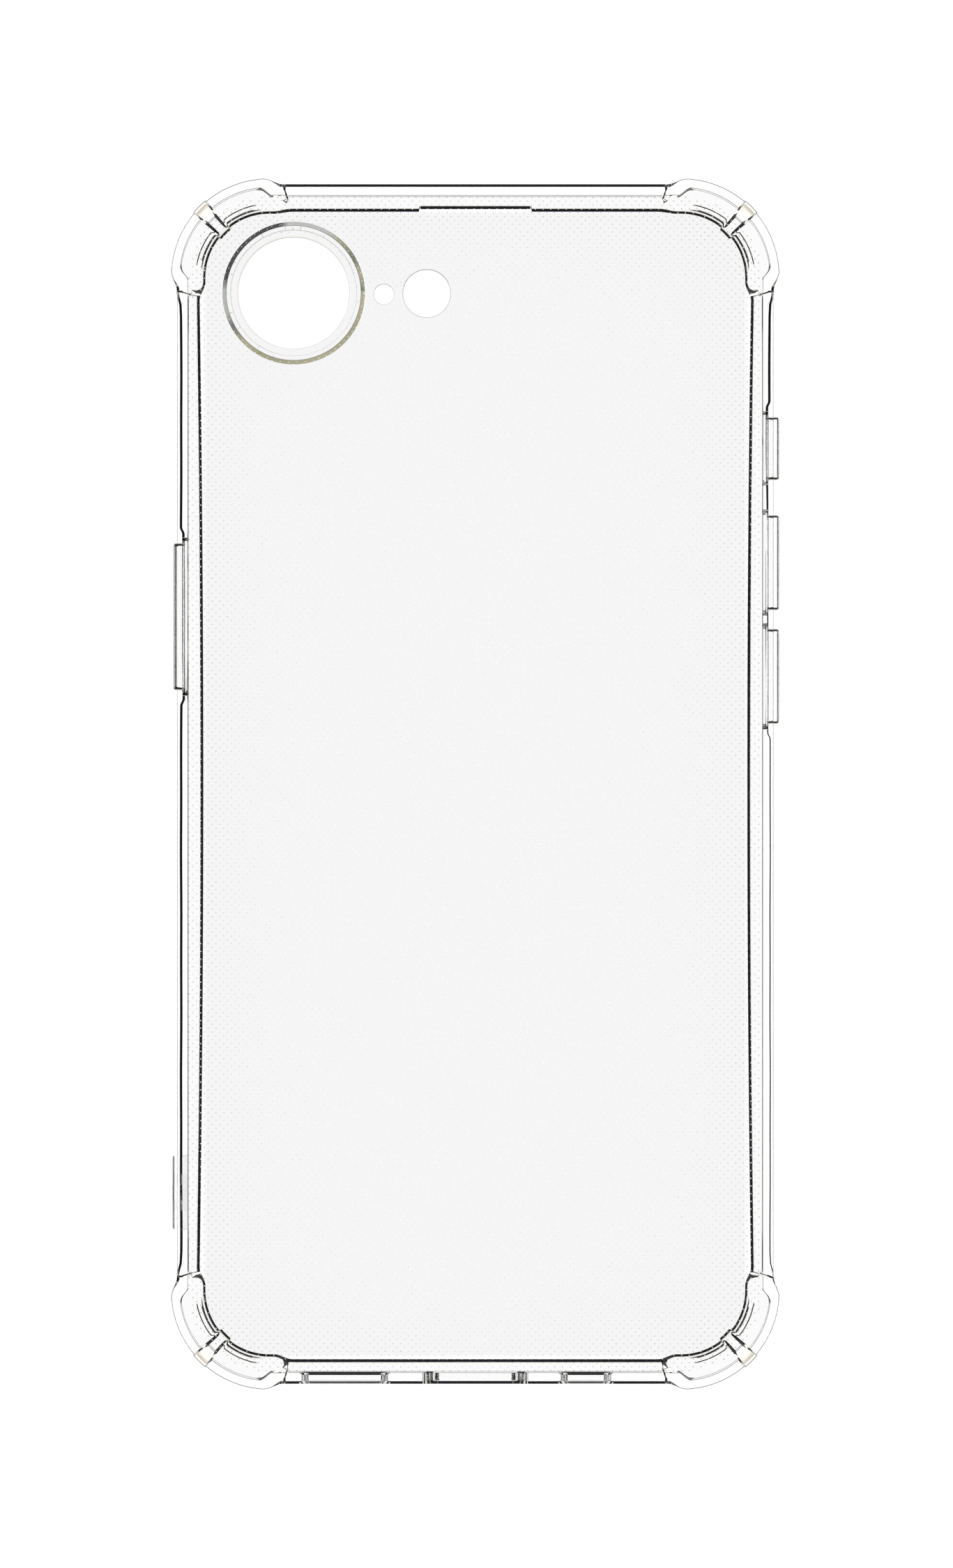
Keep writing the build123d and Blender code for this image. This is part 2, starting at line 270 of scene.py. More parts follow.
@dataclass(frozen=True)
class ClearPlastic:
    """Clear soft plastic: faint cloud in its tint, a slow ripple from the mould, an uneven polish and
    painted shade that tints the back's flat field darker.
    """

    name: str
    tint: tuple[float, float, float] = (0.99, 0.99, 0.99)
    # painted shade: the darker tint that the back's flat field takes
    painted_shade_tint: tuple[float, float, float] = (0.875, 0.875, 0.875)
    ripple: float = 0.02
    dullest: float = 0.02

    def make(self) -> bpy.types.Material:
        """Builds the material."""
        material = bpy.data.materials.new(self.name)
        graph = Graph(material)
        place = graph.add("TexCoord").outputs["Object"]
        cloud = graph.add("TexNoise", Vector=place, Scale=90.0, Detail=2.0)
        paler = tuple(min(1.0, c * 1.008) for c in self.tint)
        colour = graph.ramp(cloud.outputs["Fac"], [(0.35, self.tint), (0.65, paler)])
        # painted shade: the marked flat field of the back is mixed towards the darker tint
        painted_shade_field = graph.add("Attribute", attribute_name="painted_shade_field")
        toned = graph.add("Mix", data_type="RGBA")
        graph.tree.links.new(painted_shade_field.outputs["Fac"], toned.inputs[0])
        graph.tree.links.new(colour, toned.inputs[6])
        toned.inputs[7].default_value = (*self.painted_shade_tint, 1.0)
        polish = graph.add("TexNoise", Vector=place, Scale=700.0, Detail=3.0)
        rough = graph.add("MapRange", Value=polish.outputs["Fac"], To_Min=0.0, To_Max=self.dullest)
        swell = graph.add("TexNoise", Vector=place, Scale=140.0, Detail=1.0)
        bump = graph.add("Bump", Height=swell.outputs["Fac"], Strength=self.ripple, Distance=0.0002)
        plastic = graph.add(
            "BsdfPrincipled",
            Base_Color=toned.outputs[2],
            Roughness=rough.outputs["Result"],
            Normal=bump.outputs["Normal"],
            Transmission_Weight=1.0,
            IOR=1.5,
        )
        graph.add("OutputMaterial", Surface=plastic.outputs["BSDF"])
        return material


@dataclass(frozen=True)
class DotPlastic:
    """The matt skin of the moulded micro-dots, which scatters light instead of bending it."""

    name: str
    colour: tuple[float, float, float] = (0.97, 0.97, 0.97)

    def make(self) -> bpy.types.Material:
        """Builds the material."""
        material = bpy.data.materials.new(self.name)
        graph = Graph(material)
        place = graph.add("TexCoord").outputs["Object"]
        grain = graph.add("TexNoise", Vector=place, Scale=900.0, Detail=2.0)
        darker = tuple(c * 0.97 for c in self.colour)
        colour = graph.ramp(grain.outputs["Fac"], [(0.3, darker), (0.7, self.colour)])
        through = graph.add("BsdfTranslucent", Color=colour)
        back = graph.add("BsdfDiffuse", Color=colour)
        mixed = graph.add("MixShader", Fac=0.08)
        graph.tree.links.new(through.outputs["BSDF"], mixed.inputs[1])
        graph.tree.links.new(back.outputs["BSDF"], mixed.inputs[2])
        graph.add("OutputMaterial", Surface=mixed.outputs["Shader"])
        return material


def put_mesh(
    name: str,
    points: np.ndarray,
    faces: list[list[int]],
    material: bpy.types.Material,
    sharp: float = 34.0,
) -> bpy.types.Object:
    """Makes an object from points in millimetres, with its faces turned outwards.

    Args:
        name: The piece's name.
        points: One row for each point.
        faces: Point numbers of each face.
        material: The finish.
        sharp: Edges that turn by more degrees than this stay crisp.

    Returns:
        The new object, linked to the scene.
    """
    mesh = bpy.data.meshes.new(name)
    mesh.from_pydata((points * MM).tolist(), [], faces)
    work = bmesh.new()
    work.from_mesh(mesh)
    bmesh.ops.remove_doubles(work, verts=work.verts, dist=1e-7)
    bmesh.ops.recalc_face_normals(work, faces=work.faces)
    if work.calc_volume(signed=True) < 0:
        bmesh.ops.reverse_faces(work, faces=work.faces)
    open_edges = sum(1 for edge in work.edges if not edge.is_manifold)
    work.to_mesh(mesh)
    work.free()
    mesh.shade_smooth()
    mesh.set_sharp_from_angle(angle=math.radians(sharp))
    piece = bpy.data.objects.new(name, mesh)
    mesh.materials.append(material)
    bpy.context.scene.collection.objects.link(piece)
    counts = (len(mesh.vertices), len(mesh.polygons), open_edges)
    log.info("%s: %d points, %d faces, %d open edges", name, *counts)
    return piece


def strip(first: np.ndarray, second: np.ndarray, closed: bool = True) -> np.ndarray:
    """Joins two rows of point numbers with four-sided faces.

    Args:
        first: Point numbers along one row.
        second: As many along the other.
        closed: Whether each row's end meets its start.

    Returns:
        One row of four point numbers for each face.
    """
    quads = np.stack([first, np.roll(first, -1), np.roll(second, -1), second], axis=1)
    return quads if closed else quads[:-1]


@dataclass(frozen=True)
class BevelledEdge:
    """A moulded edge in shares of its width: a gentle lead, a bevel and a tight turn down the side."""

    lead_slope: float = 18.0
    ease: float = 0.06
    bevel: float = 0.44
    slope: float = 46.0
    turn: float = 0.08
    lead_shares: tuple[float, ...] = (0.0, 0.3, 0.6, 0.85, 1.0)
    bevel_shares: tuple[float, ...] = (0.0, 0.12, 0.88, 1.0)
    turn_shares: tuple[float, ...] = (0.4, 0.7, 1.0)

    def steps(self) -> list[tuple[float, float]]:
        """Lays out the edge.

        Over the lead the slope grows evenly from flat, so its drop is half the last slope times the square
        of the share run, and the turn is an arc from the bevel's slope to upright.

        Returns:
            The share run and the share dropped at each step, from the flat to the foot of the turn.
        """
        start, lead_slope = math.radians(self.slope), math.radians(self.lead_slope)
        lead = 1.0 - self.ease - self.bevel - self.turn * (1.0 - math.sin(start))
        rise = math.tan(lead_slope) / 2
        steps = [(lead * t, lead * rise * t * t) for t in self.lead_shares]
        run = lead + self.ease
        drop = lead * rise + self.ease * math.tan((start + lead_slope) / 2)
        fall = self.bevel * math.tan(start)
        steps += [(run + self.bevel * t, drop + fall * t) for t in self.bevel_shares]
        drop += fall
        for angle in (start + (math.pi / 2 - start) * t for t in self.turn_shares):
            turned = math.cos(start) - math.cos(angle)
            steps.append((1.0 - self.turn * (1.0 - math.sin(angle)), drop + self.turn * turned))
        return steps


def tube(grid: np.ndarray, closed: bool) -> list[list[int]]:
    """Joins each ring of points to the next.

    Args:
        grid: The rings, each a row of points.
        closed: Whether the last ring meets the first.

    Returns:
        Point numbers of the faces.
    """
    numbers = np.arange(grid.shape[0] * grid.shape[1]).reshape(grid.shape[:2])
    pairs = list(zip(numbers[:-1], numbers[1:]))
    if closed:
        pairs.append((numbers[-1], numbers[0]))
    return np.concatenate([strip(a, b) for a, b in pairs]).tolist()


def planar_fill(loops: list[tuple[np.ndarray, np.ndarray]]) -> np.ndarray:
    """Fills a flat region between an outer loop and the holes in it.

    Args:
        loops: The outer loop first, each as its points and their numbers.

    Returns:
        Point numbers of the triangles.
    """
    outlines = [[Vector((x, y, 0.0)) for x, y in points[:, :2]] for points, _ in loops]
    numbers = np.concatenate([own for _, own in loops])
    return numbers[np.array(tessellate_polygon(outlines))]


Row = tuple[float | np.ndarray, float | np.ndarray]


@dataclass
class ClearShell:
    """The moulding as one skin carried round the phone's outline.

    It takes in the back, the walls, the hollow shock corners and the front lip. Lengths are in millimetres.
    A range gives where a change starts and ends, most often in distance along the outline from the nearest
    corner's middle, or past that corner's end where the name starts with past.
    """

    sizes: CaseSizes
    windows: list[Window]
    holes: list[RoundHole]
    finish: bpy.types.Material
    corner_radius: float = 10.15
    # the back's bevelled edge
    end_edge: float = 0.74
    side_edge: float = 0.66
    right_edge: float = 0.32
    right_edge_along: tuple[float, float] = (25.0, 45.0)
    side_slope: float = 42.0
    corner_edge: float = 0.14
    past_edge_change: float = 0.2
    # the walls and the rim below them
    past_slant: tuple[float, float] = (-0.7, 1.8)
    past_inset: tuple[float, float] = (1.6, 4.2)
    rim_width: float = 0.45
    end_inset: float = 0.07
    rim_top: float = 1.15
    rim_radius: float = 0.08
    neck: tuple[tuple[float, float], ...] = ((0.0, 0.04), (0.05, 0.01), (0.15, 0.0))
    wall_top: float = 8.8
    waviness: float = 0.025
    wave_lengths: tuple[float, float] = (7.0, 3.1)
    trough_depth: float = 0.3
    trough_slant: float = 0.8
    trough_margin: float = 0.4
    fin: tuple[float, float] = (0.8, 1.0)
    fin_proud: float = 0.16
    # the corner's pocket, its middle rib and its end ribs
    pocket_depth: float = 1.0
    rib_half_width: float = 0.72
    rib_fillet: float = 0.24
    rib_foot: float = 0.26
    wall_foot: float = 0.06
    foot_change: float = 0.4
    end_rib_inner: float = 8.5
    end_rib_outer: float = 6.9
    end_rib_width: float = 1.5
    end_rib_rise: float = 0.3
    end_rib_tilt: float = 0.25
    end_rib_slant: float = 0.35
    end_rib_below: float = 0.4
    end_rib_above: tuple[float, float] = (-1.0, -0.4)
    facet: tuple[float, float] = (0.75, 0.95)
    facet_start: float = 0.45
    facet_slope: float = 0.5
    floor_end: tuple[float, float] = (5.6, 8.3)
    kerb_drop: float = 0.25
    kerb_across: tuple[float, float] = (0.45, 0.75)
    groove_depth: float = 0.45
    groove_across: tuple[float, float] = (1.15, 1.4)
    # the lip's inner edge
    nose: float = 0.66
    corner_nose: float = 0.5
    nose_change: tuple[float, float] = (8.3, 10.3)
    corner_lip: float = 2.15
    past_corner_lip: tuple[float, float] = (0.6, 2.9)
    lip_bow: float = 0.5
    top_lip_more: float = 0.15
    bottom_lip_less: float = 0.22
    lip_flat: float = 1.45
    foot_reach: float = 0.3
    foot: tuple[float, float] = (1.0, 1.35)
    relief_half_length: float = 6.95
    relief_fade: float = 0.12
    relief_depth: float = 0.33
    # the mesh: places of its rows and samples
    field_insets: tuple[float, ...] = (2.4, 1.7, 1.0)
    back_start: float = 0.9
    back_shares: tuple[float, ...] = (0.15, 0.32, 0.45, 0.6, 0.75, 0.9)
    lip_shares: tuple[float, ...] = (0.1, 0.3, 0.5, 0.7, 0.85, 1.0)
    floor_shares: tuple[float, ...] = (0.35, 0.7, 1.0)
    plate_edge: float = 0.05
    window_levels: tuple[float, ...] = (8.35, 7.7, 7.2, 6.5, 5.85, 5.15, 4.45, 3.8, 3.1, 2.6, 1.95)
    coarse_step: float = 2.5
    end_samples: tuple[float, float] = (3.6, 0.12)
    corner_marks: tuple[float, ...] = (3.3, 4.4, 5.5, 39.2, 40.4, 41.6, 42.8, 44.0)
    points: list[np.ndarray] = field(default_factory=list)
    faces: list[np.ndarray] = field(default_factory=list)
    count: int = 0

    def add(self, points: np.ndarray) -> np.ndarray:
        """Stores points and returns their numbers, in the same arrangement."""
        flat = points.reshape(-1, 3)
        numbers = np.arange(self.count, self.count + len(flat)).reshape(points.shape[:-1])
        self.points.append(flat)
        self.count += len(flat)
        return numbers

    def straight_samples(self, side: Side, half: float) -> np.ndarray:
        """Places samples along a straight side, closer at its ends, at openings and at the lip's relief.

        Args:
            side: Which side.
            half: Half its length.

        Returns:
            The samples' distances from the side's middle.
        """
        own = [w for w in self.windows if w.side is side]
        ends = tuple(w.centre + s * (w.half_length - w.radius / 2) for w in own for s in (-1, 1))
        t = clustered(-half, half, self.coarse_step, ends, 1.6, 0.25)
        near_ends = np.arange(0.0, *self.end_samples)
        t = np.concatenate([t, near_ends - half, half - near_ends[1:]])
        if side is Side.TOP:
            steps = np.arange(-0.3, 0.31, 0.1)
            t = np.concatenate([t, steps - self.relief_half_length, steps + self.relief_half_length])
        t = np.unique(t)
        edges = [w.centre + s * (w.half_length + w.margin) for w in own for s in (-1, 1)]
        if edges:
            clear = np.abs(t[:, None] - np.array([edges])).min(axis=1) > 0.05
            t = np.unique(np.concatenate([t[clear], edges]))
        return t

    def samples(self) -> None:
        """Places the outline's samples and works out where each one is.

        The outline is the cavity's: four straight sides and four quarter circles. Each sample gets its
        place, its outward direction, its distance along the outline from the nearest corner's middle, the
        number of its side (or four more for the corner after it), and its distance or angle along it.
        """
        straight = self.sizes.half_sizes - self.corner_radius
        self.quarter = self.corner_radius * math.pi / 4
        marks = tuple(45.0 + sign * mark for mark in self.corner_marks for sign in (-1, 1))
        turn = clustered(0.0, 90.0, 1.8, marks, 0.6, 0.4)
        stretches = []
        for number, side in enumerate(Side):
            half = abs(side.along @ straight)
            t = self.straight_samples(side, half)
            place = side.outward * abs(side.outward @ self.sizes.half_sizes) + t[:, None] * side.along
            outward = np.repeat(side.outward[None], len(t), axis=0)
            stretches.append((place, outward, half - np.abs(t) + self.quarter, np.full(len(t), number), t))
            angle = np.radians(turn) + math.atan2(side.outward[1], side.outward[0])
            outward = np.stack([np.cos(angle), np.sin(angle)], axis=1)
            place = (side.outward + side.along) * straight + self.corner_radius * outward
            reach = self.corner_radius * np.abs(np.radians(turn - 45.0))
            stretches.append((place, outward, reach, np.full(len(turn), 4 + number), turn))
        joined = [np.concatenate(part) for part in zip(*stretches)]
        self.place, self.outward, self.reach, self.side, self.tangent = joined
        self.long_side = (self.side == 0) | (self.side == 2)

    def past(self, span: tuple[float, float]) -> np.ndarray:
        """Rises from 0 to 1 over a range of distance past the nearest corner's end."""
        return smooth(self.reach, self.quarter + span[0], self.quarter + span[1])

    def wall_offsets(self) -> None:
        """Works out how far the rim and the wall stand from the outline, and how wide the back's edge is."""
        size, y = self.sizes, self.place[:, 1]
        cushion = size.corner_outer - size.half_width - size.wall
        self.rim = size.wall + cushion * (1 - self.past(self.past_slant))
        self.rim = self.rim + self.fin_proud * (1 - smooth(self.reach, *self.fin))
        inset = np.where(self.long_side, self.rim_width * self.past(self.past_inset), 0.0)
        self.body = self.rim - np.maximum(inset, self.end_inset)
        for side, number in ((Side.RIGHT, 0), (Side.LEFT, 2)):
            keys = [w for w in self.windows if w.side is side and w.key]
            low = min(w.centre - w.half_length for w in keys) - self.trough_margin
            high = max(w.centre + w.half_length for w in keys) + self.trough_margin
            into = smooth(self.tangent, low - self.trough_slant, low)
            out = smooth(self.tangent, high, high + self.trough_slant)
            self.body = self.body - np.where(self.side == number, self.trough_depth * into * (1 - out), 0.0)
        slow, quick = self.wave_lengths
        self.body = self.body + self.waviness * np.sin(y / slow) * np.sin(y / quick + 1.0)
        near_corner = 1 - self.past((self.past_edge_change, self.past_slant[1]))
        straight = np.where(self.long_side, self.side_edge, self.end_edge)
        thinner = (self.side_edge - self.right_edge) * (1 - smooth(y, *self.right_edge_along))
        straight = straight - np.where(self.side == 0, thinner, 0.0)
        self.edge = straight + (self.corner_edge - straight) * near_corner

    def lip_offsets(self) -> None:
        """Works out how far the pocket's wall and the lip's inner edge stand from the outline."""
        size, reach = self.sizes, self.reach
        self.beside_rib = smooth(
            reach, self.rib_half_width - self.rib_fillet, self.rib_half_width + self.rib_fillet
        )
        before_end_rib = 1 - smooth(reach, self.end_rib_outer, self.end_rib_inner)
        self.inner = self.pocket_depth * self.beside_rib * before_end_rib
        bow = self.lip_bow * (1 - (self.place[:, 1] / (size.half_length - self.corner_radius)) ** 2)
        side_edge = -(size.half_width - size.side_lip - self.lip_bow) - np.clip(bow, 0, None)
        edge = np.where(self.long_side, side_edge, size.end_lip - size.half_length)
        across = np.abs(self.place[:, 0])
        low, high = self.relief_half_length - self.relief_fade, self.relief_half_length + self.relief_fade
        relief = self.relief_depth * (1 - smooth(across, low, high))
        edge = edge + np.where(self.side == 1, relief - self.top_lip_more, 0.0)
        edge = edge + np.where(self.side == 3, self.bottom_lip_less, 0.0)
        edge = np.where(self.side >= 4, -self.corner_lip, edge)
        corner = 1 - self.past(self.past_corner_lip)
        foot = self.foot_reach * (1 - smooth(reach, *self.foot))
        self.lip = edge * (1 - corner) - self.corner_lip * corner - foot
        shorter = (self.corner_nose - self.nose) * (1 - smooth(reach, *self.nose_change))
        self.nose_length = self.nose + shorter

    def lip_top(self, away: np.ndarray) -> np.ndarray:
        """Works out how high the lip's top stands.

        Beside the middle rib the kerb is a little lower than the rib, and outside the kerb lies the
        pocket's groove. Both end short of the slanted end rib, whose face is tilted down from the lip.

        Args:
            away: Distance of the points from the outline.

        Returns:
            Their heights.
        """
        inside = away - self.lip
        kerb = self.kerb_drop * smooth(inside, *self.kerb_across)
        groove = (self.groove_depth - self.kerb_drop) * smooth(inside, *self.groove_across)
        along = self.beside_rib * (1 - smooth(self.reach, *self.floor_end))
        return self.sizes.lip_height - (kerb + groove) * along - self.end_rib_below * self.strap(away)

    def strap(self, away: np.ndarray) -> np.ndarray:
        """Works out how deep the end rib's tilted face lies.

        It falls slowly away from the corner and rises sharply again.

        Args:
            away: Distance of the points from the outline.

        Returns:
            The depth, from 0 up to the rib's tilt.
        """
        line = self.end_rib_inner - self.end_rib_slant * away
        end = line + self.end_rib_width
        fall = np.clip((self.reach - line) / self.end_rib_width, 0.0, 1.0)
        return self.end_rib_tilt * fall * (1 - smooth(self.reach, end, end + self.end_rib_rise))

    def back_top(self, away: np.ndarray) -> np.ndarray:
        """Works out the height of the back, with each middle rib's tilted facet and each end rib's face.

        Args:
            away: Distance of the points from the outline.

        Returns:
            Their heights.
        """
        on_facet = 1 - smooth(self.reach, *self.facet)
        facet = self.facet_slope * np.clip(away - self.facet_start, 0.0, None) * on_facet
        return self.sizes.back - facet - self.strap(away) * smooth(away, *self.end_rib_above)

    def back_rows(self) -> list[Row]:
        """Lays the rows from the back's flat field over its bevelled edge to the top of the wall."""
        rows = [(-inset, self.sizes.back) for inset in self.field_insets]
        edge_start = self.body - self.edge
        for share in self.back_shares:
            away = (edge_start + self.back_start) * share - self.back_start
            rows.append((away, self.back_top(away)))
        top = self.back_top(edge_start)
        for side, end in zip(BevelledEdge(slope=self.side_slope).steps(), BevelledEdge().steps()):
            run = np.where(self.long_side, side[0], end[0])
            drop = np.where(self.long_side, side[1], end[1])
            rows.append((self.body - self.edge * (1 - run), top - self.edge * drop))
        return rows + [(self.body, self.wall_top)]

    def rim_rows(self) -> list[Row]:
        """Lays the rows from the wall's outer foot over the rim and round it to the underside."""
        ledge, radius = self.rim - self.body, self.rim_radius
        rows = [(self.body + ledge * share, self.rim_top + lift) for share, lift in self.neck]
        turns = round_edge((0, 45, 90))
        inset = np.minimum(radius, ledge / 2)
        rows += [(self.rim - inset * a, self.rim_top - radius * b) for a, b in turns]
        return rows + [(self.rim - radius * b, radius * a) for a, b in turns]

    def lip_rows(self) -> list[Row]:
        """Lays the rows round the lip's inner edge, over the lip and up the inner wall's round foot."""
        rows = [(self.lip + self.rim_radius * a, self.rim_radius * b) for a, b in round_edge((0, 45, 90))]
        for run, drop in BevelledEdge().steps()[::-1]:
            away = self.lip + self.nose_length * (1 - run)
            rows.append((away, self.sizes.lip_height - self.nose_length * drop))
        first, last = self.lip + self.nose_length, self.lip + self.lip_flat
        rib_start = smooth(self.reach, self.end_rib_outer - self.foot_change, self.end_rib_outer)
        rib_end = smooth(self.reach, self.end_rib_inner, self.end_rib_inner + self.foot_change)
        foot = self.wall_foot + (self.rib_foot - self.wall_foot) * rib_start * (1 - rib_end)
        places = [first + (last - first) * share for share in self.lip_shares]
        places += [last + (self.inner - foot - last) * share for share in self.floor_shares]
        rows += [(away, self.lip_top(away)) for away in places]
        floor = self.lip_top(self.inner - foot)
        return rows + [(self.inner - foot * a, floor + foot * b) for a, b in round_edge((30, 60, 90))]

    def profile(self) -> tuple[np.ndarray, np.ndarray]:
        """Works out the wall's section at every sample.

        The section runs from the back's flat field over its edge, down the outer face to the rim, under
        the lip, up its bevelled inner edge, back over the lip to the wall's inner face, up it and along
        the inside of the back.

        Returns:
            Distance from the outline and height of every point, samples by section points.
        """
        inside, levels = self.sizes.plate_inner, len(self.window_levels)
        rows = self.back_rows()
        self.outer_rows = (len(rows), len(rows) + levels - 1)
        rows += [(self.body, z) for z in self.window_levels]
        rows += self.rim_rows() + self.lip_rows()
        self.inner_rows = (len(rows), len(rows) + levels - 1)
        rows += [(self.inner, z) for z in self.window_levels[::-1]]
        rows += [(self.inner, inside - self.plate_edge), (self.inner - self.plate_edge, inside)]
        rows += [(-inset, inside) for inset in self.field_insets[::-1]]
        away, height = zip(*rows)
        return self.spread(away), self.spread(height)

    def spread(self, values: tuple[float | np.ndarray, ...]) -> np.ndarray:
        """Stacks one value or one row of values for each section point into samples by section points."""
        return np.stack([np.broadcast_to(value, self.reach.shape) for value in values], axis=1)

    def on_wall(self, window: Window, along: np.ndarray, up: np.ndarray, away: np.ndarray) -> np.ndarray:
        """Stores points of a window's rim.

        Args:
            window: The opening.
            along: Their distances along the wall from the window's centre.
            up: Their distances up the wall from it.
            away: Their distances from the outline.

        Returns:
            Their numbers.
        """
        outward = window.side.outward
        offset = abs(outward @ self.sizes.half_sizes)
        flat = outward * (offset + away)[:, None] + (window.centre + along)[:, None] * window.side.along
        return self.add(np.column_stack([flat, self.window_middle() + up]))

    def window_middle(self) -> float:
        """Height of the windows' centres."""
        return (self.window_levels[0] + self.window_levels[-1]) / 2

    def cut(
        self,
        window: Window,
        grid: np.ndarray,
        away: np.ndarray,
        height: np.ndarray,
        keep: np.ndarray,
    ) -> None:
        """Opens a window through a wall: a ring of faces on each skin and a band between them.

        Args:
            window: The opening.
            grid: Point numbers, samples by section points.
            away: Distance of each grid point from the outline.
            height: Height of each grid point.
            keep: Which of the grid's faces stay; the window's are struck out here.
        """
        on_side = np.flatnonzero(self.side == list(Side).index(window.side))
        low, high = (window.centre + s * (window.half_length + window.margin) for s in (-1, 1))
        first, last = (on_side[np.argmin(np.abs(self.tangent[on_side] - end))] for end in (low, high))
        samples = np.arange(first, last + 1)
        rims = []
        for (row_low, row_high), turned in ((self.outer_rows, False), (self.inner_rows, True)):
            keep[first:last, row_low:row_high] = False
            levels = np.arange(row_low, row_high + 1)
            if turned:
                levels = levels[::-1]
            up_side, down_side = np.full(len(levels) - 1, last), np.full(len(levels) - 1, first)
            one_end, other_end = (np.full(len(samples) - 1, level) for level in (levels[0], levels[-1]))
            loop_s = np.concatenate([samples[:-1], up_side, samples[:0:-1], down_side])
            loop_r = np.concatenate([one_end, levels[:-1], other_end, levels[:0:-1]])
            from_centre = self.tangent[loop_s] - window.centre
            t, up = window.outline(from_centre, height[loop_s, loop_r] - self.window_middle())
            out = away[loop_s, loop_r]
            if turned and window.flare > 0:
                rims.append(self.on_wall(window, t, up, out + window.flare))
                t, up = t + np.sign(t) * window.flare, up + np.sign(up) * window.flare
            rim = self.on_wall(window, t, up, out)
            self.faces.append(strip(grid[loop_s, loop_r], rim))
            rims.append(rim)
        self.faces += [strip(a, b) for a, b in zip(rims[:-1], rims[1:])]

    def ring(self, hole: RoundHole) -> tuple[np.ndarray, np.ndarray]:
        """Turns a hole's rim about its axis and returns the point numbers of its inner and outer loops."""
        angle = np.linspace(0, 2 * np.pi, 128, endpoint=False)
        radius, height = np.array(hole.rim).T
        x = hole.x + radius[:, None] * np.cos(angle)
        y = hole.y + radius[:, None] * np.sin(angle)
        z = np.repeat(height[:, None], len(angle), axis=1)
        numbers = self.add(np.stack([x, y, z], axis=2))
        self.faces += [strip(a, b) for a, b in zip(numbers[:-1], numbers[1:])]
        return numbers[0], numbers[-1]

    def mark_painted_shade(self, piece: bpy.types.Object) -> None:
        """Marks where painted shade tints the back's flat field: 1 from the first inset inwards, 0 outside
        the second.
        """
        mesh = piece.data
        spots = np.empty(len(mesh.vertices) * 3)
        mesh.vertices.foreach_get("co", spots)
        spots = np.abs(spots.reshape(-1, 3)) / MM
        over = spots[:, :2] - self.sizes.half_sizes + self.corner_radius
        at_corner = np.all(over > 0, axis=1)
        beyond = np.where(at_corner, np.hypot(*np.clip(over, 0, None).T), over.max(axis=1))
        inset = self.corner_radius - beyond
        on_back = spots[:, 2] > self.wall_top - 0.8
        painted_shade_field = smooth(inset, self.field_insets[1], self.field_insets[0]) * on_back
        # painted shade mask, read by the material's darker tint for the flat field
        mark = mesh.attributes.new("painted_shade_field", "FLOAT", "POINT")
        mark.data.foreach_set("value", painted_shade_field.astype(np.float32))

    def build(self) -> bpy.types.Object:
        """Builds the skin, dresses it and lets it stand for the moulding's regions."""
        self.samples()
        self.wall_offsets()
        self.lip_offsets()
        away, height = self.profile()
        flat = self.place[:, None, :] + away[:, :, None] * self.outward[:, None, :]
        grid = self.add(np.concatenate([flat, height[:, :, None]], axis=2))
        keep = np.ones((grid.shape[0], grid.shape[1] - 1), bool)
        for window in self.windows:
            self.cut(window, grid, away, height, keep)
        following = np.roll(grid, -1, axis=0)
        quads = np.stack([grid[:, :-1], following[:, :-1], following[:, 1:], grid[:, 1:]], axis=2)
        self.faces.append(quads[keep])
        rings = [self.ring(hole) for hole in self.holes]
        every = np.concatenate(self.points)
        for row, end in ((0, 1), (-1, 0)):
            loops = [(every[grid[:, row]], grid[:, row])]
            loops += [(every[ring[end]][::-1], ring[end][::-1]) for ring in rings]
            self.faces.append(planar_fill(loops))
        faces = [face for group in self.faces for face in group.tolist()]
        piece = put_mesh("clear_shell", every, faces, self.finish)
        # marks the back's flat field for painted shade
        self.mark_painted_shade(piece)
        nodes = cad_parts
        regions = [n for n in nodes if n.endswith(("_wall", "_lip")) or n.startswith("corner_")]
        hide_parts("back_panel", "camera_guard_ring", *regions)
        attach(piece, "case")
        return piece


